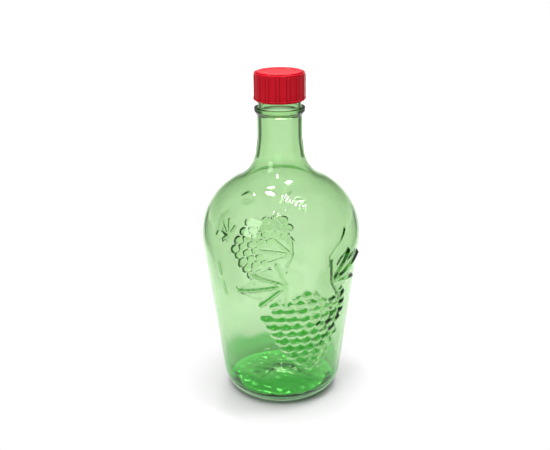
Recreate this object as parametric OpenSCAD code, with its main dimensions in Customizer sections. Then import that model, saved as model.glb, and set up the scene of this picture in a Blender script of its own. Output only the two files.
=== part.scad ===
// Glass carboy with a threaded mouth and a ribbed screw cap, which holds a sealing disc.
// The glass is its plain form: the shallow moulded vine on the body isn't part of this model.
// Millimetres, +Z up. The origin is the middle of the base, on the surface that it stands on.

/* [Bottle] */
// Height of the glass, from the table to the rim of the mouth
bottle_h = 375.5; // [372:0.5:380]
// Largest diameter, at the foot of the shoulder
body_d = 182; // [176:1:186]
// Height of the largest diameter
belly_z = 194; // [190:1:198]
// Half angle of the body's taper towards the base
taper = 7.4; // [6.5:0.1:8]
// Radius of the round shoulder
shoulder_r = 72.5; // [70:0.5:74]
// Angle that the shoulder turns through before the hollow curve to the neck
shoulder_turn = 65; // [63:1:66]
// Radius of the hollow curve between shoulder and neck
neck_curve_r = 38; // [35:1:40]
// Half angle of the taper at the foot of the neck
neck_taper = 8; // [7:0.5:10]
// Outside diameter of the neck
neck_d = 50.4; // [50:0.1:51]
// Thickness of the glass in the body and neck
wall = 4; // [3.5:0.1:4.4]

/* [Base] */
// Radius of the heel
heel_r = 31; // [28:1:33]
// Radius of the toe, where the heel turns under to the ring that it stands on
toe_r = 12; // [10:1:14]
// Width of the flat ring that it stands on
ring_w = 3; // [2:0.5:4]
// Height of the push-up in the middle of the base
kick_h = 4; // [3:1:6]
// Thickness of the base in its middle
base_t = 9; // [8:0.5:10]
// How far the inside floor drops from its middle to its edge
floor_drop = 3; // [2:1:4]
// Radius of the fillet between the inside of the wall and the inside floor
floor_fillet_r = 14; // [14:1:20]

/* [Mouth] */
// Outside diameter of the glass under the cap, without its thread
finish_d = 48.6; // [48.2:0.1:48.8]
// Outside diameter of the bead below the cap
bead_d = 56.6; // [55:0.1:58]
// Distance from the rim down to the top of the bead
bead_drop = 35; // [33:0.5:36]
// Height of the bead's outer face
bead_h = 4.4; // [3:0.2:5]
// How far the bottle's thread stands out
thread_h = 1.3; // [1.1:0.1:1.4]
// Axial distance between neighbouring thread crests
thread_pitch = 6; // [5.6:0.1:6.4]
// Number of thread starts
thread_starts = 2; // [2:1:2]
// Angle that each thread start runs round the mouth
thread_sweep = 240; // [200:10:260]

/* [Cap] */
// Diameter of the skirt between its ribs
cap_d = 56.4; // [56:0.1:57]
// Height of the cap
cap_h = 32; // [31:0.1:33]
// Thickness of the cap's top
cap_top_t = 2.8; // [2.6:0.1:3]
// Inside diameter of the skirt
cap_bore_d = 52.2; // [52:0.1:52.4]
// Number of grip ribs
cap_ribs = 15; // [12:1:20]
// How far a rib stands out of the skirt
rib_h = 0.7; // [0.5:0.1:0.9]
// Angle of the first grip rib from the X axis
rib_turn = 4; // [0:1:24]
// Thickness of the sealing disc
liner_t = 1.6; // [1.4:0.1:1.8]
// Diameter of the sealing disc
liner_d = 50.8; // [50:0.1:51.2]

/* [Hidden] */
$fn = 96;

GLASS = [0.42, 0.76, 0.40];
CAP_RED = [0.80, 0.07, 0.13];
LINER_WHITE = [0.93, 0.93, 0.90];

// Where the arcs of the body's outline lie, as [radius from the axis, height]
body_r = body_d / 2;
neck_r = neck_d / 2;
toe_turn = 60;
shoulder_c = [body_r - shoulder_r, belly_z];
taper_top = arc_at(shoulder_c, shoulder_r, -taper);
neck_c = arc_at(shoulder_c, shoulder_r + neck_curve_r, shoulder_turn);
neck_foot = arc_at(neck_c, neck_curve_r, 180 + neck_taper);
neck_z = neck_foot[1] + (neck_foot[0] - neck_r) / tan(neck_taper);
heel_z = toe_r + (heel_r - toe_r) * sin(toe_turn);
heel_c = [taper_top[0] - (heel_r + (taper_top[1] - heel_z) * sin(taper)) / cos(taper), heel_z];
toe_c = arc_at(heel_c, heel_r - toe_r, -toe_turn);
kick_r = toe_c[0] - ring_w;

// Inside of the base
floor_z = kick_h + base_t - floor_drop;
floor_c_z = floor_z + floor_fillet_r;
inside_r_at_floor = taper_r(floor_c_z) - wall / cos(taper);
floor_c = [inside_r_at_floor - floor_fillet_r / cos(taper), floor_c_z];

// Mouth
bore_r = neck_r - wall;
finish_r = finish_d / 2;
bead_r = bead_d / 2;
bead_top = bottle_h - bead_drop;
bead_foot = bead_top - bead_h - (bead_r - neck_r) * 1.4;
bead_round = 0.5;
rim_round = 0.8;

// Threads: the cap's thread runs in the gaps of the bottle's, a little above their middle
thread_lead = thread_pitch * thread_starts;
thread_z = bottle_h - 18.5;
thread_root_w = 3.1;
thread_crest_w = 1.2;
thread_buried = 0.8;
thread_fade = 30;
thread_step = 8;
cap_thread_z = thread_z - thread_pitch / 2 + 0.7;
cap_thread_h = cap_bore_d / 2 - finish_r - 0.4;
cap_thread_root_w = 2.6;
cap_thread_crest_w = 1.0;

// Cap
liner_play = 0.1;
cap_top_z = bottle_h + liner_t + liner_play + cap_top_t;
cap_foot_z = cap_top_z - cap_h;
cap_r = cap_d / 2;
rib_r = 1.1;
rib_foot_z = cap_foot_z + 3;
rib_head_z = cap_top_z - 4.4;

// A point on a circle in the outline's plane
function arc_at(c, r, a) = c + r * [cos(a), sin(a)];

// Points along an arc from angle a to angle b, in n steps
function arc(c, r, a, b, n = 16) = [for (i = [0:n]) arc_at(c, r, a + (b - a) * i / n)];

// Radius of the straight taper of the body at height z
function taper_r(z) = taper_top[0] - (taper_top[1] - z) * tan(taper);

// Two equal arcs that fall from [0, top] to [w, foot], level at both ends
function crown(w, top, foot, n = 12) =
    let (
        turn = 2 * atan((top - foot) / w),
        r = w / 2 / sin(turn)
    )
    concat(
        arc([0, top - r], r, 90, 90 - turn, n),
        arc([w, foot + r], r, 270 - turn, 270, n)
    );

// Outline from the taper's foot to the top of the neck's curve, moved outwards by off
function flank(off) = concat(
    arc(shoulder_c, shoulder_r + off, -taper, shoulder_turn, 36),
    arc(neck_c, neck_curve_r - off, 180 + shoulder_turn, 180 + neck_taper, 18),
    [[neck_r + off, neck_z]]
);

function heel(off) = concat(
    arc(toe_c, toe_r + off, -90, -toe_turn, 8),
    arc(heel_c, heel_r + off, -toe_turn, -taper, 16)
);

function bead_and_finish() = concat(
    [[neck_r, bead_foot]],
    arc([bead_r - bead_round, bead_top - bead_h + bead_round], bead_round, -40, 0, 3),
    arc([bead_r - bead_round, bead_top - bead_round], bead_round, 0, 90, 4),
    arc([finish_r + bead_round, bead_top + bead_round], bead_round, 270, 180, 4),
    arc([finish_r - rim_round, bottle_h - rim_round], rim_round, 0, 90, 4)
);

// The glass as one solid, without its cavity and thread
module outer_form() {
    rotate_extrude()
        polygon(concat(
            crown(kick_r, kick_h, 0),
            heel(0),
            flank(0),
            bead_and_finish(),
            [[0, bottle_h]]
        ));
}

// The space inside the glass, open at the mouth
module cavity() {
    rotate_extrude()
        polygon(concat(
            crown(floor_c[0], kick_h + base_t, floor_z),
            arc(floor_c, floor_fillet_r, -90, -taper, 12),
            flank(-wall),
            arc([bore_r + rim_round, bottle_h - rim_round], rim_round, 180, 90, 4),
            [[bore_r + rim_round, bottle_h + 1], [0, bottle_h + 1]]
        ));
}

// One thread start: a ridge of trapezium section that winds up a right-hand helix.
// root_r is the wall that it stands on, and h is positive outwards and negative inwards.
module thread_ridge(root_r, h, root_w, crest_w, z) {
    n = ceil(thread_sweep / thread_step);
    side = h > 0 ? 1 : -1;
    rings = [
        for (i = [0:n])
            let (
                a = thread_sweep * i / n,
                fade = min(1, min(a, thread_sweep - a) / thread_fade),
                crest_r = root_r - side * thread_buried / 2 + (h + side * thread_buried / 2) * fade,
                foot_r = root_r - side * thread_buried,
                mid = z + thread_lead * a / 360
            )
            for (p = [
                [foot_r, -root_w / 2], [crest_r, -crest_w / 2],
                [crest_r, crest_w / 2], [foot_r, root_w / 2]
            ])
                [p[0] * cos(a), p[0] * sin(a), mid + p[1]]
    ];
    sides = [
        for (i = [0:n - 1], k = [0:3])
            let (p = 4 * i + k, q = 4 * i + (k + 1) % 4)
            each side > 0 ? [[p, q, p + 4], [q, q + 4, p + 4]] : [[p, p + 4, q], [q, p + 4, q + 4]]
    ];
    last = 4 * n;
    near = side > 0 ? [[2, 1, 0], [3, 2, 0]] : [[0, 1, 2], [0, 2, 3]];
    far = side > 0 ? [[0, 1, 2], [0, 2, 3]] : [[2, 1, 0], [3, 2, 0]];
    polyhedron(
        points = rings,
        faces = concat(near, sides, [for (f = far) [for (v = f) v + last]]),
        convexity = 6
    );
}

module thread(root_r, h, root_w, crest_w, z) {
    for (start = [0:thread_starts - 1])
        rotate([0, 0, 360 * start / thread_starts])
            thread_ridge(root_r, h, root_w, crest_w, z);
}

module bottle() {
    color(GLASS)
        difference() {
            union() {
                outer_form();
                thread(finish_r, thread_h, thread_root_w, thread_crest_w, thread_z);
            }
            cavity();
        }
}

// The skirt's outline runs from the lip up to the raised panel of the top
module cap_shell() {
    lip_r = cap_bore_d / 2 + 0.8;
    bead_z = cap_foot_z + 2.4;
    ring_z = cap_top_z - 0.9;
    panel_r = cap_r - 2.6;
    groove_z = cap_top_z - 1.5;
    dish_r = 18.5;
    rotate_extrude()
        polygon(concat(
            [[cap_bore_d / 2, cap_foot_z], [lip_r, cap_foot_z]],
            arc([cap_r - 0.2, bead_z], 0.9, -50, 75, 6),
            [[cap_r, bead_z + 1]],
            arc([cap_r - 1, ring_z - 1], 1, 0, 135, 8),
            [[panel_r + 0.3, groove_z], [panel_r, groove_z]],
            arc([panel_r - 0.7, cap_top_z - 0.7], 0.7, 0, 90, 4),
            [[dish_r, cap_top_z], [dish_r - 0.5, cap_top_z - 0.5], [0, cap_top_z - 0.5]],
            [[0, cap_top_z - cap_top_t], [cap_bore_d / 2, cap_top_z - cap_top_t]]
        ));
}

// A grip rib: a round bar sunk in the skirt, with a round head
module rib() {
    translate([cap_r + rib_h - rib_r, 0, rib_foot_z])
        cylinder(r = rib_r, h = rib_head_z - rib_foot_z, $fn = 24);
    translate([cap_r + rib_h - rib_r, 0, rib_head_z])
        sphere(r = rib_r, $fn = 24);
}

module cap() {
    color(CAP_RED)
        union() {
            cap_shell();
            for (i = [0:cap_ribs - 1])
                rotate([0, 0, rib_turn + 360 * i / cap_ribs])
                    rib();
            thread(cap_bore_d / 2, -cap_thread_h, cap_thread_root_w, cap_thread_crest_w, cap_thread_z);
        }
}

module cap_liner() {
    color(LINER_WHITE)
        translate([0, 0, bottle_h])
            cylinder(d = liner_d, h = liner_t);
}

bottle();
cap();
cap_liner();
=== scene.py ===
# A green glass carboy with a moulded vine on its body and a red ribbed screw cap.
# Outlines are worked in millimetres, as (radius from the axis, height), and meshes are made in metres.
# Angles round the bottle are in degrees from -Y, the middle of the front, towards +X.
import math

import bpy
import numpy as np
from mathutils import Matrix, Vector


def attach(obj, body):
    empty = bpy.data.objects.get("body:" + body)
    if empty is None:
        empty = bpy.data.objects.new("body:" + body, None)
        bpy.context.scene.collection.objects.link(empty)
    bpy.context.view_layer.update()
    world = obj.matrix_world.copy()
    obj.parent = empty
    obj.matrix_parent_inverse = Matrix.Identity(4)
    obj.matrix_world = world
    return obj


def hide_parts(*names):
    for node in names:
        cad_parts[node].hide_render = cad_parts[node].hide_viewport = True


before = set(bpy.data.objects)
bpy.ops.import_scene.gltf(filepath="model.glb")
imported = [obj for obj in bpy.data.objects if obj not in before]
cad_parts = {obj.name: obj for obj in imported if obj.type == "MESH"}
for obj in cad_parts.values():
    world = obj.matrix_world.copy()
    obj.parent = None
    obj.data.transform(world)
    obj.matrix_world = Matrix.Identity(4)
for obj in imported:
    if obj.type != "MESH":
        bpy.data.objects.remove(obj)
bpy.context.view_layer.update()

MM = 0.001
# Two measures in millimetres that differ by less than this count as one
TOUCH = 0.01
SCENE = bpy.context.scene


# ---------------------------------------------------------------- camera

# The camera stands back from the axis, looks down and a little aside, and leans a little, so that the
# model's outline falls on the photo's
CAMERA_AZIMUTH = math.radians(-22)
CAMERA_DISTANCE = 0.950
CAMERA_HEIGHT = 0.5424
CAMERA_PITCH = math.radians(19.73)
CAMERA_PAN = math.radians(0.40)
CAMERA_ROLL = math.radians(0.67)
CAMERA_LENS = 57.1


def make_camera():
    data = bpy.data.cameras.new("camera")
    data.sensor_width = 36
    data.lens = CAMERA_LENS
    data.clip_start = 0.01
    camera = bpy.data.objects.new("camera", data)
    SCENE.collection.objects.link(camera)
    back = Vector((math.sin(CAMERA_AZIMUTH), -math.cos(CAMERA_AZIMUTH), 0))
    heading = CAMERA_AZIMUTH + CAMERA_PAN
    ahead = Vector((-math.sin(heading), math.cos(heading), 0))
    forward = ahead * math.cos(CAMERA_PITCH) + Vector((0, 0, -math.sin(CAMERA_PITCH)))
    right = forward.cross(Vector((0, 0, 1))).normalized()
    up = right.cross(forward)
    rolled_right = right * math.cos(CAMERA_ROLL) - up * math.sin(CAMERA_ROLL)
    rolled_up = right * math.sin(CAMERA_ROLL) + up * math.cos(CAMERA_ROLL)
    turn = Matrix((rolled_right, rolled_up, -forward)).transposed().to_4x4()
    place = back * CAMERA_DISTANCE + Vector((0, 0, CAMERA_HEIGHT))
    camera.matrix_world = Matrix.Translation(place) @ turn
    SCENE.camera = camera


# ---------------------------------------------------------------- surfaces of revolution

def arc(centre, radius, start, end, steps):
    """Points on a circle in the outline's plane, between two angles in degrees."""
    angles = np.radians(np.linspace(start, end, steps + 1))
    return [(centre[0] + radius * math.cos(a), centre[1] + radius * math.sin(a)) for a in angles]


def line(start, end, steps):
    """Points on a straight stretch, both ends included."""
    return [
        (start[0] + (end[0] - start[0]) * i / steps, start[1] + (end[1] - start[1]) * i / steps)
        for i in range(steps + 1)
    ]


def crown(width, top, foot, steps=12):
    """Two equal arcs that fall from (0, top) to (width, foot), level at both ends."""
    turn = 2 * math.degrees(math.atan((top - foot) / width))
    radius = width / 2 / math.sin(math.radians(turn))
    return (
        arc((0, top - radius), radius, 90, 90 - turn, steps)
        + arc((width, foot + radius), radius, 270 - turn, 270, steps)
    )


def joined(*stretches):
    """The stretches as one outline, without the points that two neighbours share."""
    outline = []
    for stretch in stretches:
        for point in stretch:
            if not outline or math.dist(outline[-1], point) > 1e-3:
                outline.append(point)
    return outline


def band_faces(low, low_count, high, high_count):
    """Faces between two rings of vertices; low and high are the indices of their first vertices.
    A count of one is a pole, and otherwise one count divides the other."""
    faces = []
    count = max(low_count, high_count)
    for k in range(count):
        n = (k + 1) % count
        if low_count == high_count:
            faces.append((low + k, low + n, high + n, high + k))
        elif low_count == 1:
            faces.append((low, high + n, high + k))
        elif high_count == 1:
            faces.append((low + k, low + n, high))
    ratio = count // min(low_count, high_count)
    if ratio > 1 and min(low_count, high_count) > 1:
        for k in range(min(low_count, high_count)):
            n = (k + 1) % min(low_count, high_count)
            for j in range(ratio):
                near = k if j < ratio // 2 else n
                fine, fine_next = k * ratio + j, (k * ratio + j + 1) % count
                if low_count < high_count:
                    faces.append((low + near, high + fine_next, high + fine))
                else:
                    faces.append((low + fine, low + fine_next, high + near))
            middle = k * ratio + ratio // 2
            if low_count < high_count:
                faces.append((low + k, low + n, high + middle))
            else:
                faces.append((low + middle, high + n, high + k))
    return faces


def revolved(name, outline, columns, lift=None):
    """A closed mesh that turns an outline round the axis. The outline runs from the axis to the axis
    with the solid on its left. columns(i, radius, height) is the number of vertices in ring i, and
    lift(i, angles, radius, height) is how far its vertices stand out of the outline."""
    points = np.array(outline, float)
    along = np.gradient(points, axis=0)
    along /= np.linalg.norm(along, axis=1)[:, None]
    across = np.stack([along[:, 1], -along[:, 0]], axis=1)
    vertices, starts, counts = [], [], []
    for i, (radius, height) in enumerate(points):
        count = 1 if radius < 1e-6 else columns(i, radius, height)
        starts.append(sum(counts))
        counts.append(count)
        angles = np.arange(count) * 2 * math.pi / count
        off = lift(i, angles, radius, height) if lift and count > 1 else np.zeros(count)
        r = radius + across[i, 0] * off
        z = height + across[i, 1] * off
        vertices.append(np.stack([r * np.sin(angles), -r * np.cos(angles), z], axis=1))
    faces = []
    for i in range(len(points) - 1):
        faces += band_faces(starts[i], counts[i], starts[i + 1], counts[i + 1])
    mesh = bpy.data.meshes.new(name)
    mesh.from_pydata((np.concatenate(vertices) * MM).tolist(), [], faces)
    mesh.validate()
    mesh.shade_smooth()
    piece = bpy.data.objects.new(name, mesh)
    SCENE.collection.objects.link(piece)
    return piece


def thread_lift(angles, height, start_z, lead, starts, sweep, rise, root_w, crest_w, fade=30):
    """Height of a thread ridge of trapezium section above the wall that it winds round. The first
    start is on the X axis, and the ridge rises from the wall over the first degrees of its sweep."""
    turned = np.degrees(angles) - 90
    lift = np.zeros_like(angles)
    for start in range(starts):
        travel = (turned - 360 * start / starts) % 360
        for lap in range(2):
            run = travel + 360 * lap
            away = np.abs(height - start_z - lead * run / 360)
            section = np.clip((root_w / 2 - away) / (root_w / 2 - crest_w / 2), 0, 1)
            ends = np.clip(np.minimum(run, sweep - run) / fade, 0, 1)
            lift = np.maximum(lift, rise * section * ends)
    return lift


# ---------------------------------------------------------------- the glass

# The body tapers from its belly to its foot, and the angles of the tapers and turns are in degrees
BODY_R, BELLY_Z, TAPER, WALL = 91, 194, 7.4, 4
SHOULDER_R, SHOULDER_TURN = 72.5, 65
NECK_CURVE_R, NECK_TAPER, NECK_R = 38, 8, 25.2
# The heel's arc and the tighter toe's arc end in the ring that the bottle stands on
HEEL_R, TOE_R, TOE_TURN, RING_W = 31, 12, 60, 3
# The push-up under the base, the base's thickness at the middle, and how much lower the cavity's floor
# is at its edge
KICK_H, BASE_T, FLOOR_DROP, FLOOR_FILLET_R = 4, 9, 3, 14
# The finish is the part of the mouth that the cap screws onto, and the bead is the ring below it
BOTTLE_H, FINISH_R, RIM_ROUND = 375.5, 24.3, 0.8
BEAD_R, BEAD_H, BEAD_TOP, BEAD_ROUND, BEAD_SLOPE = 28.3, 4.4, 340.5, 0.5, 1.4
BEAD_EASE_W, BEAD_EASE_H = 0.25, 0.4
THREAD_Z, THREAD_LEAD, THREAD_STARTS, THREAD_SWEEP = 357, 12, 2, 240
THREAD_H, THREAD_ROOT_W, THREAD_CREST_W = 1.3, 3.1, 1.2


def on_arc(centre, radius, angle):
    a = math.radians(angle)
    return centre[0] + radius * math.cos(a), centre[1] + radius * math.sin(a)


def tan(angle):
    return math.tan(math.radians(angle))


def cos(angle):
    return math.cos(math.radians(angle))


def sin(angle):
    return math.sin(math.radians(angle))


SHOULDER_C = (BODY_R - SHOULDER_R, BELLY_Z)
TAPER_TOP = on_arc(SHOULDER_C, SHOULDER_R, -TAPER)
NECK_C = on_arc(SHOULDER_C, SHOULDER_R + NECK_CURVE_R, SHOULDER_TURN)
NECK_FOOT = on_arc(NECK_C, NECK_CURVE_R, 180 + NECK_TAPER)
NECK_Z = NECK_FOOT[1] + (NECK_FOOT[0] - NECK_R) / tan(NECK_TAPER)
HEEL_Z = TOE_R + (HEEL_R - TOE_R) * sin(TOE_TURN)
HEEL_C = (TAPER_TOP[0] - (HEEL_R + (TAPER_TOP[1] - HEEL_Z) * sin(TAPER)) / cos(TAPER), HEEL_Z)
TOE_C = on_arc(HEEL_C, HEEL_R - TOE_R, -TOE_TURN)
FLOOR_Z = KICK_H + BASE_T - FLOOR_DROP
FLOOR_C_Z = FLOOR_Z + FLOOR_FILLET_R
BEAD_FOOT = BEAD_TOP - BEAD_H - (BEAD_R - NECK_R) * BEAD_SLOPE
BORE_R = NECK_R - WALL

# The stretch of the body with the most relief, from VINE_FOOT up to VINE_TURN degrees above the belly,
# has a finer mesh, with rings VINE_STEP apart. The shoulder above it has a middling one.
VINE_FOOT, VINE_TURN, VINE_STEP = 44, 17, 1.55
VINE_COLUMNS, SHOULDER_COLUMNS, PLAIN_COLUMNS = 480, 240, 120


def taper_r(z):
    """Radius of the straight taper at height z."""
    return TAPER_TOP[0] - (TAPER_TOP[1] - z) * tan(TAPER)


def vine_top():
    return BELLY_Z + SHOULDER_R * sin(VINE_TURN)


def shoulder_top():
    return BELLY_Z + SHOULDER_R * sin(SHOULDER_TURN)


def outer_outline():
    """The outside of the glass, from the middle of the base up to the rim."""
    heel_end = on_arc(HEEL_C, HEEL_R, -TAPER)
    taper_steps = round((TAPER_TOP[1] - VINE_FOOT) / cos(TAPER) / VINE_STEP)
    belly_steps = round(math.radians(VINE_TURN + TAPER) * SHOULDER_R / VINE_STEP)
    return joined(
        crown(TOE_C[0] - RING_W, KICK_H, 0),
        arc(TOE_C, TOE_R, -90, -TOE_TURN, 6),
        arc(HEEL_C, HEEL_R, -TOE_TURN, -TAPER, 16),
        line(heel_end, (taper_r(VINE_FOOT), VINE_FOOT), 5),
        line((taper_r(VINE_FOOT), VINE_FOOT), TAPER_TOP, taper_steps),
        arc(SHOULDER_C, SHOULDER_R, -TAPER, VINE_TURN, belly_steps),
        arc(SHOULDER_C, SHOULDER_R, VINE_TURN, SHOULDER_TURN, 40),
        arc(NECK_C, NECK_CURVE_R, 180 + SHOULDER_TURN, 180 + NECK_TAPER, 20),
        line(NECK_FOOT, (NECK_R, NECK_Z), 6),
        line((NECK_R, NECK_Z), (NECK_R, BEAD_FOOT - 1), 8),
        [(NECK_R, BEAD_FOOT - BEAD_EASE_H), (NECK_R + BEAD_EASE_W, BEAD_FOOT + BEAD_EASE_H)],
        arc((BEAD_R - BEAD_ROUND, BEAD_TOP - BEAD_H + BEAD_ROUND), BEAD_ROUND, -40, 0, 4),
        arc((BEAD_R - BEAD_ROUND, BEAD_TOP - BEAD_ROUND), BEAD_ROUND, 0, 90, 5),
        arc((FINISH_R + BEAD_ROUND, BEAD_TOP + BEAD_ROUND), BEAD_ROUND, 270, 180, 5),
        line((FINISH_R, BEAD_TOP + 2), (FINISH_R, BOTTLE_H - RIM_ROUND - 1), 44),
        arc((FINISH_R - RIM_ROUND, BOTTLE_H - RIM_ROUND), RIM_ROUND, 0, 90, 5),
    )


def inner_outline():
    """The wall of the cavity, from the rim down to the middle of the floor."""
    floor_c = (taper_r(FLOOR_C_Z) - (WALL + FLOOR_FILLET_R) / cos(TAPER), FLOOR_C_Z)
    upwards = joined(
        crown(floor_c[0], KICK_H + BASE_T, FLOOR_Z),
        arc(floor_c, FLOOR_FILLET_R, -90, -TAPER, 14),
        line(on_arc(floor_c, FLOOR_FILLET_R, -TAPER), on_arc(SHOULDER_C, SHOULDER_R - WALL, -TAPER), 24),
        arc(SHOULDER_C, SHOULDER_R - WALL, -TAPER, SHOULDER_TURN, 34),
        arc(NECK_C, NECK_CURVE_R + WALL, 180 + SHOULDER_TURN, 180 + NECK_TAPER, 20),
        line((BORE_R, NECK_Z), (BORE_R, BOTTLE_H - 2 * RIM_ROUND), 10),
        arc((BORE_R + RIM_ROUND, BOTTLE_H - RIM_ROUND), RIM_ROUND, 180, 90, 5),
    )
    return upwards[::-1]


# ---------------------------------------------------------------- the moulded vine

# Powers shape the rounded sections: the smaller the power, the steeper the flanks
GRAPE_H, GRAPE_HALF_W, GRAPE_HALF_H, GRAPE_POWER = 3.4, 7.0, 5.6, 0.65

# Rows of grapes: height, distance of the first grape from the bunch's middle, how many, and their pitch
FRONT_ROWS = [
    (148, -33, 6, 14.2), (138, -40, 7, 14), (128, -36, 7, 13.5), (118, -46, 8, 12.9),
    (108.5, -39, 7, 13), (99.5, -33, 6, 13), (90, -28, 6, 12.5), (81, -22, 5, 12.4),
    (72.5, -16, 4, 12.6), (64, -6, 3, 12.6), (56, 3, 2, 12.6),
]
BACK_ROWS = [
    (177, -38, 5, 11.5), (167.5, -44, 6, 12), (158, -39, 6, 13), (148.5, -44, 7, 12.8),
    (139, -36, 6, 12.6), (129.5, -28, 5, 12.4), (120, -22, 4, 12.4), (111, -15, 3, 12.4),
    (102, -8, 2, 12.4),
]
GRAPE_SCATTER = 0.7


def bunch(rows, middle, seed):
    """Places of the grapes, as (angle, height), each a little off its row's even pitch."""
    scatter = np.random.default_rng(seed).uniform(-GRAPE_SCATTER, GRAPE_SCATTER, (100, 2))
    grapes = []
    for z, first, count, pitch in rows:
        for i in range(count):
            aside, upwards = scatter[len(grapes)]
            along = first + i * pitch + aside
            grapes.append((middle + math.degrees(along / taper_r(z)), z + upwards))
    return grapes


def local(angles, radius, z, place):
    """Distances on the surface from a place (angle, height): to the right, and up."""
    turn = (angles - math.radians(place[0]) + math.pi) % (2 * math.pi) - math.pi
    return turn * radius, np.full_like(angles, z - place[1])


def grape_lift(angles, radius, z, place):
    u, v = local(angles, radius, z, place)
    inside = np.clip(1 - (u / GRAPE_HALF_W) ** 2 - (v / GRAPE_HALF_H) ** 2, 0, 1)
    return GRAPE_H * inside ** GRAPE_POWER


def smooth(x):
    """Eases from 0 to 1 as x does."""
    x = np.clip(x, 0, 1)
    return x * x * (3 - 2 * x)


def ridge_lift(u, v, route, half_w, h, power=1.3):
    """A rounded ridge along a route of straight steps."""
    nearest = np.full_like(u, 1e9)
    for (x0, y0), (x1, y1) in zip(route, route[1:]):
        dx, dy = x1 - x0, y1 - y0
        share = np.clip(((u - x0) * dx + (v - y0) * dy) / (dx * dx + dy * dy), 0, 1)
        nearest = np.minimum(nearest, np.hypot(u - x0 - share * dx, v - y0 - share * dy))
    return h * np.clip(1 - (nearest / half_w) ** 2, 0, 1) ** power


LEAF_H, LEAF_EDGE = 0.9, 2.0
VEIN_H, VEIN_HALF_W, VEIN_POWER = 3.3, 2.1, 0.8
# The veins of a leaf: angle from the middle vein, and length as a share of the middle one's
LEAF_VEINS = [(0, 1.0), (31, 0.72), (-29, 0.72), (76, 0.50), (-78, 0.50)]
# A leaf's outline, as shares of its length: the web round its foot, and a lobe's reach at its vein, which
# falls by LOBE_FALL in each LOBE_TURN degrees beside it, for LOBE_TURNS of them
LEAF_WEB, LOBE_REACH, LOBE_FALL, LOBE_TURN, LOBE_TURNS = 0.22, 1.05, 0.45, 20, 1.5
NOTCHES, NOTCH_DEPTH = 24, 0.03


def leaf_reach(away):
    """Distance from a leaf's foot to its edge, as a share of the leaf's length, by the angle from its
    middle vein."""
    reach = np.full_like(away, LEAF_WEB)
    for angle, length in LEAF_VEINS:
        gap = np.abs((away - angle + 180) % 360 - 180)
        fall = LOBE_FALL * np.clip(gap / LOBE_TURN, 0, LOBE_TURNS)
        reach = np.maximum(reach, length * (LOBE_REACH - fall))
    return reach * (1 + NOTCH_DEPTH * np.cos(np.radians(away * NOTCHES)))


def leaf_lift(angles, radius, z, leaf):
    """How far a leaf stands out, and how much of what lies under it shows, from 0 to 1."""
    foot_angle, foot_z, turn, length = leaf
    u, v = local(angles, radius, z, (foot_angle, foot_z))
    away = (np.degrees(np.arctan2(v, u)) - turn + 180) % 360 - 180
    inside = smooth((length * leaf_reach(away) - np.hypot(u, v)) / LEAF_EDGE)
    lift = LEAF_H * inside
    for vein, share in LEAF_VEINS:
        direction = math.radians(turn + vein)
        tip = (share * length * math.cos(direction), share * length * math.sin(direction))
        lift = np.maximum(lift, ridge_lift(u, v, [(0, 0), tip], VEIN_HALF_W, VEIN_H, VEIN_POWER))
    return lift, 1 - inside


# Each leaf: angle and height of its foot, direction of its middle vein, length
LEAVES = [(-18.4, 164, 193, 55), (17, 159, 21, 56), (148, 130, 10, 46), (206, 168, 70, 27)]
# Each stem or tendril: half width, how far it stands out, and its points as (angle, height)
STEMS = [
    (1.9, 1.5, [(32, 217), (28, 210), (24, 204), (17, 197), (13.5, 191), (14, 182), (16, 170), (18, 158)]),
    (1.5, 1.2, [(-16, 244), (-13, 249), (-7, 253), (-1, 252), (2, 247), (-1, 243), (-6, 245), (-3, 249)]),
    (1.5, 1.2, [(-26, 238), (-23, 244), (-21, 250), (-16, 256), (-9, 259)]),
    (1.5, 1.2, [(-26, 238), (-20, 232), (-19, 226), (-21, 219)]),
    (1.5, 1.2, [(-66, 253), (-61, 257), (-54, 256), (-50, 251), (-54, 247), (-60, 248), (-57, 251)]),
    (1.5, 1.2, [(-70, 236), (-74, 228), (-72, 220), (-75, 211)]),
    (1.7, 1.2, [(168, 212), (167, 202), (167, 192), (170, 182)]),
    (1.4, 1.1, [(166, 192), (161, 200), (155, 203), (149, 199), (148, 192), (152, 188), (156, 191)]),
    (1.6, 2.2, [(-57, 155), (-54, 151), (-50, 153), (-47, 150)]),
]
# The two soft marks near the mould joint, in the same form
JOINT_MARKS = [
    (4.8, 1.0, [(-73, 178), (-72.5, 166)]),
    (4.8, 1.0, [(-71, 155), (-70, 143)]),
]


def stem_lift(angles, radius, z, stem):
    half_w, h, places = stem
    middle = places[len(places) // 2]
    u, v = local(angles, radius, z, middle)
    route = [(math.radians(a - middle[0]) * radius, height - middle[1]) for a, height in places]
    return ridge_lift(u, v, route, half_w, h)


GRAPES = bunch(FRONT_ROWS, middle=0, seed=3) + bunch(BACK_ROWS, middle=180, seed=5)
# The first grape of these rows ends in a steep slanting bead, which draws the front bunch's left edge
EDGE_ROWS = FRONT_ROWS[3:-1]
EDGE_BEAD_H, EDGE_BEAD_HALF_W, EDGE_BEAD_POWER = 3.4, 3.1, 0.5
# How far a bead lies beyond its grape's middle, and half its length across and down
EDGE_BEAD_OUT, EDGE_BEAD_REACH, EDGE_BEAD_DROP = 2.5, 3.2, 1.6


def edge_lift(angles, radius, z):
    lift = np.zeros_like(angles)
    slant = [(-EDGE_BEAD_REACH, EDGE_BEAD_DROP), (EDGE_BEAD_REACH, -EDGE_BEAD_DROP)]
    for row_z, first, *_ in EDGE_ROWS:
        place = (math.degrees((first - EDGE_BEAD_OUT) / taper_r(row_z)), row_z)
        u, v = local(angles, radius, z, place)
        bead = ridge_lift(u, v, slant, EDGE_BEAD_HALF_W, EDGE_BEAD_H, EDGE_BEAD_POWER)
        lift = np.maximum(lift, bead)
    return lift


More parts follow.
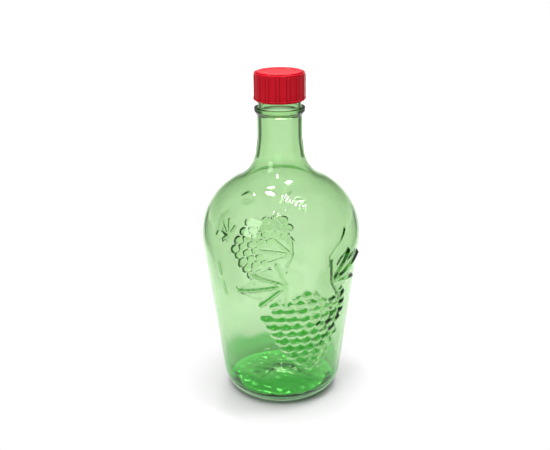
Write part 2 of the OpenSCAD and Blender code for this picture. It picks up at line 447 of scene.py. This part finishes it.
def vine_lift(angles, radius, z):
    lift = np.zeros_like(angles)
    for grape in GRAPES:
        if abs(grape[1] - z) < GRAPE_HALF_H:
            lift = np.maximum(lift, grape_lift(angles, radius, z, grape))
    lift = np.maximum(lift, edge_lift(angles, radius, z))
    for leaf in LEAVES:
        raised, shown = leaf_lift(angles, radius, z, leaf)
        lift = np.maximum(lift * shown, raised)
    for stem in STEMS + JOINT_MARKS:
        lift = np.maximum(lift, stem_lift(angles, radius, z, stem))
    # The relief stays within the square that the belly touches
    room = BODY_R / np.maximum(np.abs(np.sin(angles)), np.abs(np.cos(angles))) - radius
    return np.minimum(lift, room)


# The waves of the cavity's floor: their height, their lengths across and along, how far each set
# wanders, in radians, and over what length, and the radius of the calm middle
FLOOR_WAVE_H, FLOOR_CALM_R = 0.4, 12
WAVE_X, WANDER_X, WANDER_X_LENGTH = 2.9, 1.4, 8
WAVE_Y, WANDER_Y, WANDER_Y_LENGTH = 3.6, 1.2, 9


def floor_lift(angles, radius, z):
    """The uneven waves of the cavity's floor, which die away up its fillet and at its middle."""
    x, y = radius * np.sin(angles), radius * np.cos(angles)
    across = np.sin(x / WAVE_X + WANDER_X * np.sin(y / WANDER_X_LENGTH))
    along = np.sin(y / WAVE_Y + WANDER_Y * np.sin(x / WANDER_Y_LENGTH))
    fade = smooth((FLOOR_C_Z - z) / FLOOR_FILLET_R) * smooth(radius / FLOOR_CALM_R)
    return FLOOR_WAVE_H * across * along * fade


def make_bottle():
    outer, inner = outer_outline(), inner_outline()

    def is_floor(i, z):
        return i >= len(outer) and z < FLOOR_C_Z

    def is_body(i, z, foot, top):
        return i < len(outer) and foot - TOUCH < z < top + TOUCH

    def columns(i, radius, z):
        if is_body(i, z, VINE_FOOT, vine_top()):
            return VINE_COLUMNS
        return SHOULDER_COLUMNS if is_body(i, z, vine_top(), shoulder_top()) else PLAIN_COLUMNS

    def lift(i, angles, radius, z):
        if is_body(i, z, VINE_FOOT, shoulder_top()):
            return vine_lift(angles, radius, z)
        if is_body(i, z, THREAD_Z - THREAD_ROOT_W, BOTTLE_H):
            return thread_lift(
                angles, z, THREAD_Z, THREAD_LEAD, THREAD_STARTS, THREAD_SWEEP,
                THREAD_H, THREAD_ROOT_W, THREAD_CREST_W,
            )
        if is_floor(i, z):
            return floor_lift(angles, radius, z)
        return np.zeros_like(angles)

    bottle = revolved("glass_bottle", outer + inner[1:], columns, lift)
    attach(bottle, "bottle")
    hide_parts("bottle")
    bottle.data.materials.append(green_glass())


# ---------------------------------------------------------------- the cap and its sealing disc

CAP_R, CAP_H, CAP_TOP_Z, CAP_BORE_R, CAP_PLATE_T = 28.2, 32, 380, 26.1, 2.8
CAP_FOOT = CAP_TOP_Z - CAP_H
CAP_RIBS, RIB_TURN, RIB_H, RIB_HALF_W = 15, 4, 0.7, 1.5
RIB_FOOT, RIB_HEAD = CAP_FOOT + 3.6, CAP_TOP_Z - 4.6
# The crease beside each rib: its depth, and its middle and half width as shares of the rib's half width
CREASE_H, CREASE_AWAY, CREASE_HALF_W = 0.45, 1.35, 0.35
CAP_THREAD_Z, CAP_THREAD_H, CAP_THREAD_ROOT_W, CAP_THREAD_CREST_W = 354.7, 1.4, 2.6, 1.0
RIB_COLUMNS, BORE_COLUMNS = 32, 120
CAP_COLUMNS = RIB_COLUMNS * CAP_RIBS
LINER_R, LINER_T, LINER_Z = 25.4, 1.6, BOTTLE_H


def cap_outline():
    """The cap's inside, from the middle of the top plate, and then its outside, back to the middle."""
    plate_z, corner = CAP_TOP_Z - CAP_PLATE_T, 0.6
    mouth_round, lip_round, lip_r = 0.4, 0.5, CAP_BORE_R + 0.8
    inside = joined(
        line((0, plate_z), (CAP_BORE_R - corner, plate_z), 12),
        arc((CAP_BORE_R - corner, plate_z - corner), corner, 90, 0, 4),
        line((CAP_BORE_R, plate_z - 1), (CAP_BORE_R, CAP_FOOT + 0.6), 56),
        arc((CAP_BORE_R + mouth_round, CAP_FOOT + mouth_round), mouth_round, 180, 270, 3),
    )
    # The skirt has a bead round its foot, and the top has a rounded edge, a groove and a shallow dish
    skirt_margin = 1.2
    bead_round, bead_z = 1.0, CAP_FOOT + 2.2
    edge_round, edge_z = 1.1, CAP_TOP_Z - 0.9
    groove_round, groove_r, groove_z = 0.35, CAP_R - 2.4, CAP_TOP_Z - 1.8
    top_round, top_r = 0.8, groove_r - 1.0
    dish_round, dish_r, dish_z = 0.25, 18.5, CAP_TOP_Z - 0.5
    outside = joined(
        arc((lip_r, CAP_FOOT + lip_round), lip_round, -90, -30, 4),
        arc((CAP_R - 0.2, bead_z), bead_round, -50, 80, 12),
        line((CAP_R, bead_z + skirt_margin), (CAP_R, edge_z - skirt_margin), 52),
        arc((CAP_R - edge_round, edge_z - edge_round), edge_round, 0, 110, 12),
        arc((groove_r, groove_z + 0.3), groove_round, 300, 210, 5),
        arc((top_r, CAP_TOP_Z - top_round), top_round, 0, 90, 7),
        line((top_r - 0.5, CAP_TOP_Z), (dish_r + 0.4, CAP_TOP_Z), 5),
        arc((dish_r + 0.4, CAP_TOP_Z - dish_round), dish_round, 90, 180, 3),
        arc((dish_r - 0.1, dish_z + dish_round), dish_round, 0, -90, 3),
        line((dish_r - 0.6, dish_z), (0, dish_z), 12),
    )
    return inside, outside


def rib_lift(angles, z):
    """Grip ribs with round heads and feet, and the creases round them."""
    spacing = 2 * math.pi / CAP_RIBS
    # The ribs' angle is measured from the X axis, a quarter turn on from the front
    turned = angles - math.radians(90 + RIB_TURN)
    aside = ((turned + spacing / 2) % spacing - spacing / 2) * CAP_R
    beyond = max(0, z - RIB_HEAD, RIB_FOOT - z)
    away = np.hypot(aside, beyond) / RIB_HALF_W
    crease = np.clip(1 - ((away - CREASE_AWAY) / CREASE_HALF_W) ** 2, 0, 1)
    return RIB_H * np.clip(1 - away ** 2, 0, 1) ** 0.5 - CREASE_H * crease


def make_cap():
    inside, outside = cap_outline()

    def columns(i, radius, z):
        return CAP_COLUMNS if i >= len(inside) and radius > CAP_R - TOUCH else BORE_COLUMNS

    def lift(i, angles, radius, z):
        near_ribs = RIB_FOOT - 2 * RIB_HALF_W < z < RIB_HEAD + 2 * RIB_HALF_W
        if i >= len(inside) and radius > CAP_R - 0.5 and near_ribs:
            return rib_lift(angles, z)
        if i < len(inside) and radius > CAP_BORE_R - TOUCH:
            return thread_lift(
                angles, z, CAP_THREAD_Z, THREAD_LEAD, THREAD_STARTS, THREAD_SWEEP,
                CAP_THREAD_H, CAP_THREAD_ROOT_W, CAP_THREAD_CREST_W,
            )
        return np.zeros_like(angles)

    cap = revolved("screw_cap", inside + outside, columns, lift)
    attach(cap, "cap")
    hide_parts("cap")
    cap.data.materials.append(cap_plastic())


def make_liner():
    """A foam disc with the ring that the bottle's rim has pressed into it."""
    top, edge = LINER_Z + LINER_T, 0.3
    dent_w, dent_h = 1.6, 0.18
    dent_r = FINISH_R - dent_w

    def lift(i, angles, radius, z):
        near = max(0, 1 - ((radius - dent_r) / dent_w) ** 2)
        return np.full_like(angles, -dent_h * near if z < LINER_Z + TOUCH else 0.0)

    outline = joined(
        line((0, LINER_Z), (LINER_R - edge, LINER_Z), 34),
        arc((LINER_R - edge, LINER_Z + edge), edge, -90, 0, 4),
        arc((LINER_R - edge, top - edge), edge, 0, 90, 4),
        line((LINER_R - 2 * edge, top), (0, top), 10),
    )
    liner = revolved("sealing_disc", outline, lambda i, radius, z: BORE_COLUMNS, lift)
    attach(liner, "liner")
    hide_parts("cap_liner")
    liner.data.materials.append(liner_foam())


# ---------------------------------------------------------------- materials

def new_material(name):
    material = bpy.data.materials.new(name)
    material.use_nodes = True
    nodes, links = material.node_tree.nodes, material.node_tree.links
    return material, nodes, links, nodes["Principled BSDF"]


def noise(nodes, links, scale, detail):
    """A noise texture in the object's own coordinates."""
    place = nodes.new("ShaderNodeTexCoord")
    texture = nodes.new("ShaderNodeTexNoise")
    texture.inputs["Scale"].default_value = scale
    texture.inputs["Detail"].default_value = detail
    links.new(place.outputs["Object"], texture.inputs["Vector"])
    return texture.outputs["Fac"]


def coordinates(nodes, links, kind):
    """The X, Y and Z of a texture coordinate."""
    place = nodes.new("ShaderNodeTexCoord")
    split = nodes.new("ShaderNodeSeparateXYZ")
    links.new(place.outputs[kind], split.inputs["Vector"])
    return split.outputs


def ranged(nodes, links, source, at_low, at_high, low=0.0, high=1.0, easing="LINEAR"):
    """The source, held between low and high, spread from at_low to at_high."""
    spread = nodes.new("ShaderNodeMapRange")
    spread.interpolation_type = easing
    ends = {"From Min": low, "From Max": high, "To Min": at_low, "To Max": at_high}
    for name, value in ends.items():
        spread.inputs[name].default_value = value
    links.new(source, spread.inputs["Value"])
    return spread.outputs["Result"]


def maths(nodes, links, operation, first, second=0.0):
    node = nodes.new("ShaderNodeMath")
    node.operation = operation
    for value, socket in ((first, node.inputs[0]), (second, node.inputs[1])):
        if isinstance(value, float):
            socket.default_value = value
        else:
            links.new(value, socket)
    return node.outputs["Value"]


def coloured(nodes, links, source, stops):
    """A colour by the source, from two or more stops of (source, colour), in rising order."""
    ramp = nodes.new("ShaderNodeValToRGB")
    elements = ramp.color_ramp.elements
    for i, (position, colour) in enumerate(stops):
        element = elements[i] if i < len(elements) else elements.new(position)
        element.position = position
        element.color = (*colour, 1)
    links.new(source, ramp.inputs["Fac"])
    return ramp.outputs["Color"]


def bumped(nodes, links, source, shader, strength, distance):
    bump = nodes.new("ShaderNodeBump")
    bump.inputs["Strength"].default_value = strength
    bump.inputs["Distance"].default_value = distance
    links.new(source, bump.inputs["Height"])
    links.new(bump.outputs["Normal"], shader.inputs["Normal"])


# The tint of the glass's surface by height: a painted shade at the heel, a deep green that stands in for
# the bottle's green shadow on the floor seen through its base, a clear body and a slightly deeper neck
HEEL_PAINTED_SHADE, BODY_TINT, NECK_TINT = (0.29, 0.78, 0.29), (0.962, 0.938, 0.957), (0.915, 0.930, 0.895)
TINTS_AND_HEEL_SHADE = [(36, HEEL_PAINTED_SHADE), (44, BODY_TINT), (248, BODY_TINT), (296, NECK_TINT)]
TINT_SPAN, TINT_SWING = 400, 24
GLASS_COLOUR, GLASS_DENSITY, GLASS_IOR = (0.36, 0.75, 0.21, 1), 145, 1.52
# The glass of the base is pitted, fully below PITS_FULL and not at all above PITS_GONE
PITS_FULL, PITS_GONE, PITS_WEIGHT = 14, 20, 3.0


def green_glass():
    material, nodes, links, shader = new_material("green_glass")
    height = coordinates(nodes, links, "Object")["Z"]
    # The lines between the tints are uneven, up to TINT_SWING above and below their heights
    wander = noise(nodes, links, scale=14, detail=1.0)
    swing = ranged(nodes, links, wander, at_low=-TINT_SWING * MM, at_high=TINT_SWING * MM)
    swung = maths(nodes, links, "ADD", height, swing)
    share = maths(nodes, links, "MULTIPLY", swung, 1 / (TINT_SPAN * MM))
    # Painted shade: the deep green low down stands in for the bottle's green shadow under and behind its
    # foot
    tint_and_heel_shade = coloured(nodes, links, share, [(z / TINT_SPAN, colour) for z, colour in TINTS_AND_HEEL_SHADE])
    links.new(tint_and_heel_shade, shader.inputs["Base Color"])
    shader.inputs["Transmission Weight"].default_value = 1.0
    shader.inputs["IOR"].default_value = GLASS_IOR
    shader.inputs["Roughness"].default_value = 0.0
    # The glass ripples all over, and the pits are deeper than the ripples
    ripples = noise(nodes, links, scale=28, detail=1.0)
    pits = noise(nodes, links, scale=110, detail=2.0)
    pitting = ranged(
        nodes, links, height, at_low=0.0, at_high=PITS_WEIGHT, low=PITS_GONE * MM, high=PITS_FULL * MM,
    )
    relief = maths(nodes, links, "ADD", ripples, maths(nodes, links, "MULTIPLY", pitting, pits))
    bumped(nodes, links, relief, shader, strength=0.25, distance=0.0006)
    absorb = nodes.new("ShaderNodeVolumeAbsorption")
    absorb.inputs["Color"].default_value = GLASS_COLOUR
    absorb.inputs["Density"].default_value = GLASS_DENSITY
    links.new(absorb.outputs["Volume"], nodes["Material Output"].inputs["Volume"])
    return material


CAP_REDS = [(0.0, (0.51, 0.005, 0.014)), (1.0, (0.60, 0.008, 0.022))]
# How far the shade in a crease reaches, in metres, and how much it deepens
SHADE_REACH, SHADE_DEPTH = 0.0025, 1.6


def cap_plastic():
    material, nodes, links, shader = new_material("cap_plastic")
    mottle = noise(nodes, links, scale=60, detail=3.0)
    # Painted shade: the creases beside the ribs and in the top's groove are darkened in the colour by
    # ambient occlusion
    crease = nodes.new("ShaderNodeAmbientOcclusion")
    crease.only_local = True
    crease.inputs["Distance"].default_value = SHADE_REACH
    shaded = nodes.new("ShaderNodeMix")
    shaded.data_type = "RGBA"
    shaded.blend_type = "MULTIPLY"
    shaded.inputs["Factor"].default_value = 1.0
    links.new(coloured(nodes, links, mottle, CAP_REDS), shaded.inputs["A"])
    links.new(maths(nodes, links, "POWER", crease.outputs["AO"], SHADE_DEPTH), shaded.inputs["B"])
    links.new(shaded.outputs["Result"], shader.inputs["Base Color"])
    links.new(ranged(nodes, links, mottle, at_low=0.09, at_high=0.15), shader.inputs["Roughness"])
    shader.inputs["Specular IOR Level"].default_value = 0.12
    grain = noise(nodes, links, scale=900, detail=2.0)
    bumped(nodes, links, grain, shader, strength=0.15, distance=0.0001)
    return material


def liner_foam():
    material, nodes, links, shader = new_material("liner_foam")
    shader.inputs["Base Color"].default_value = (0.86, 0.86, 0.82, 1)
    shader.inputs["Roughness"].default_value = 0.75
    cells = noise(nodes, links, scale=1500, detail=2.0)
    bumped(nodes, links, cells, shader, strength=0.4, distance=0.0002)
    return material


# ---------------------------------------------------------------- studio, in metres

# The floor lies a hair below the bottle's foot, and the base lamp a hair above it
GROUND_REACH, GROUND_GAP = 30, 0.0002
# Where the floor fades out, as distance to the side over distance from the camera, and the distances
# from the camera between which it comes back
GROUND_FADE, GROUND_BACK = (0.22, 0.38), (2.5, 3.5)
# The floor's grey near the bottle, lower there as a painted shade, and beyond it, and the distances
# between which it changes
GROUND_GREYS, GROUND_CHANGE = (0.57, 0.62), (1.0, 1.8)
# The least distance from the camera, which keeps the fade sound behind it
GROUND_NEAREST = 0.05


def make_floor():
    """A pale floor. Near the bottle it fades out on both sides of the picture, so that the glass's edges
    see a darker room past it, and it is slightly darker there, a painted shade that darkens the glass's
    lower body. The far floor is whole."""
    mesh = bpy.data.meshes.new("floor")
    corners = [(x * GROUND_REACH, y * GROUND_REACH, 0) for x, y in ((-1, -1), (1, -1), (1, 1), (-1, 1))]
    mesh.from_pydata(corners, [], [(0, 1, 2, 3)])
    floor = bpy.data.objects.new("floor", mesh)
    SCENE.collection.objects.link(floor)
    material, nodes, links, shader = new_material("floor_white")
    shader.inputs["Roughness"].default_value = 1.0
    shader.inputs["Specular IOR Level"].default_value = 0.0
    # The floor is turned so that its Y axis points away from the camera
    place = coordinates(nodes, links, "Object")
    from_camera = maths(nodes, links, "ADD", place["Y"], CAMERA_DISTANCE)
    away = maths(nodes, links, "MAXIMUM", from_camera, GROUND_NEAREST)
    aside = maths(nodes, links, "DIVIDE", maths(nodes, links, "ABSOLUTE", place["X"]), away)
    # Painted shade: the floor is a little darker near the bottle than beyond it
    links.new(ranged(nodes, links, away, *GROUND_GREYS, *GROUND_CHANGE), shader.inputs["Base Color"])
    faded = maths(
        nodes, links, "MULTIPLY",
        ranged(nodes, links, aside, 0.0, 1.0, *GROUND_FADE, easing="SMOOTHSTEP"),
        ranged(nodes, links, away, 1.0, 0.0, *GROUND_BACK),
    )
    gone = nodes.new("ShaderNodeBsdfTransparent")
    mix = nodes.new("ShaderNodeMixShader")
    links.new(faded, mix.inputs["Fac"])
    links.new(shader.outputs["BSDF"], mix.inputs[1])
    links.new(gone.outputs["BSDF"], mix.inputs[2])
    links.new(mix.outputs["Shader"], nodes["Material Output"].inputs["Surface"])
    mesh.materials.append(material)
    floor.location.z = -GROUND_GAP
    floor.rotation_euler.z = CAMERA_AZIMUTH


def lamp(name, kind, power):
    """One of Blender's kinds of lamp, which still needs its size and place."""
    data = bpy.data.lights.new(name, kind)
    data.energy = power
    light = bpy.data.objects.new(name, data)
    SCENE.collection.objects.link(light)
    return light


def area_light(name, place, size, power, aim=(0, 0, 0.2), reflected=True):
    light = lamp(name, "AREA", power)
    light.data.shape = "RECTANGLE"
    light.data.size, light.data.size_y = size
    light.location = place
    light.rotation_euler = (Vector(aim) - Vector(place)).to_track_quat("-Z", "Y").to_euler()
    light.visible_glossy = reflected
    light.visible_camera = False


def sun(power, spread):
    """A wide soft light from straight above, which lights the floor evenly."""
    light = lamp("sun", "SUN", power)
    light.data.angle = math.radians(spread)
    light.visible_glossy = False
    light.visible_transmission = False


def base_lamp(radius, power, colour):
    """A round lamp on the floor, facing up, under the raised middle of the bottle's base."""
    light = lamp("base_lamp", "AREA", power)
    light.data.shape = "DISK"
    light.data.size = 2 * radius
    light.data.color = colour
    light.location.z = GROUND_GAP
    light.rotation_euler = (math.pi, 0, 0)


# The strength of the dome that lights what isn't glass
DOME = 0.1
# The room's brightness in its dark parts below and beside the view, and above it
DARK, DARK_ABOVE = 0.12, 0.06
# Between which limits the dark parts end. The first two are cosines of the angle from the camera's
# heading, and the other two are sines of the angle above the horizon.
AHEAD_LIMITS, BESIDE_LIMITS = (0.4, 0.65), (0.2, 0.32)
BELOW_LIMITS, ABOVE_LIMITS = (-0.06, -0.03), (0.02, 0.16)
# What bounces off the glass: the room's brightness low down and high up, and the limits between them
BOUNCED, BOUNCED_LIMITS = (0.5, 0.05), (0.0, 0.35)


def make_world():
    """A room that is white to the camera. Rays that have gone through the glass see it dark above the
    horizon, dark below it ahead of the camera, where the floor has faded out, and dark on both sides,
    square to the view. Rays that have only bounced off the glass see it grey, and darker higher up.
    The dark parts draw the glass's edges. An even dome lights the rest."""
    world = bpy.data.worlds.new("studio")
    SCENE.world = world
    world.use_nodes = True
    nodes, links = world.node_tree.nodes, world.node_tree.links
    height = coordinates(nodes, links, "Generated")["Z"]

    def mixed(share, first, second):
        mix = nodes.new("ShaderNodeMix")
        mix.clamp_factor = True
        links.new(share, mix.inputs["Factor"])
        for source, socket in ((first, "A"), (second, "B")):
            if isinstance(source, float):
                mix.inputs[socket].default_value = source
            else:
                links.new(source, mix.inputs[socket])
        return mix.outputs["Result"]

    # 1 straight ahead of the camera, 0 at its sides, -1 behind it
    heading = nodes.new("ShaderNodeVectorMath")
    heading.operation = "DOT_PRODUCT"
    heading.inputs[1].default_value = (-math.sin(CAMERA_AZIMUTH), math.cos(CAMERA_AZIMUTH), 0)
    links.new(nodes.new("ShaderNodeTexCoord").outputs["Generated"], heading.inputs[0])
    ahead = heading.outputs["Value"]
    in_view = ranged(nodes, links, ahead, 0.0, 1.0, *AHEAD_LIMITS)
    below = mixed(in_view, 1.0, ranged(nodes, links, height, DARK, 1.0, *BELOW_LIMITS))
    beside = ranged(nodes, links, maths(nodes, links, "ABSOLUTE", ahead), DARK, 1.0, *BESIDE_LIMITS)
    above = ranged(nodes, links, height, 1.0, DARK_ABOVE, *ABOVE_LIMITS)
    through = maths(nodes, links, "MINIMUM", maths(nodes, links, "MINIMUM", below, beside), above)
    bounced = ranged(nodes, links, height, *BOUNCED, *BOUNCED_LIMITS)
    path = nodes.new("ShaderNodeLightPath")
    only_bounced = mixed(path.outputs["Transmission Depth"], path.outputs["Glossy Depth"], 0.0)
    glassy = mixed(only_bounced, through, bounced)
    seen = mixed(path.outputs["Is Camera Ray"], glassy, 1.0)
    links.new(mixed(path.outputs["Diffuse Depth"], seen, DOME), nodes["Background"].inputs["Strength"])
    nodes["Background"].inputs["Color"].default_value = (1, 1, 1, 1)


def make_lamps():
    sun(power=4.75, spread=80)
    base_lamp(radius=0.068, power=0.043, colour=(0.6, 1, 0.6))
    # These draw the small lights on the shoulder, and the back one those in the base and the cap's top
    area_light("ceiling", (-0.56, -0.74, 1.7), size=(0.12, 0.4), power=6)
    area_light("overhead", (-0.10, 0.40, 1.68), size=(0.14, 0.26), power=5)
    area_light("window", (0.30, -0.30, 1.69), size=(0.26, 0.3), power=9)
    area_light("back", (1.12, 2.78, 1.60), size=(0.52, 0.15), power=9)
    # These light the cap's front and left side
    area_light("side", (-1.2, -0.5, 0.9), size=(0.5, 0.8), power=4)
    area_light("fill", (-0.8, -1.4, 0.7), size=(0.9, 0.9), power=5, reflected=False)


make_camera()
make_bottle()
make_cap()
make_liner()
make_floor()
make_world()
make_lamps()
SCENE.cycles.max_bounces = 32
SCENE.cycles.transmission_bounces = 32
SCENE.cycles.glossy_bounces = 12
SCENE.view_settings.view_transform = "Standard"
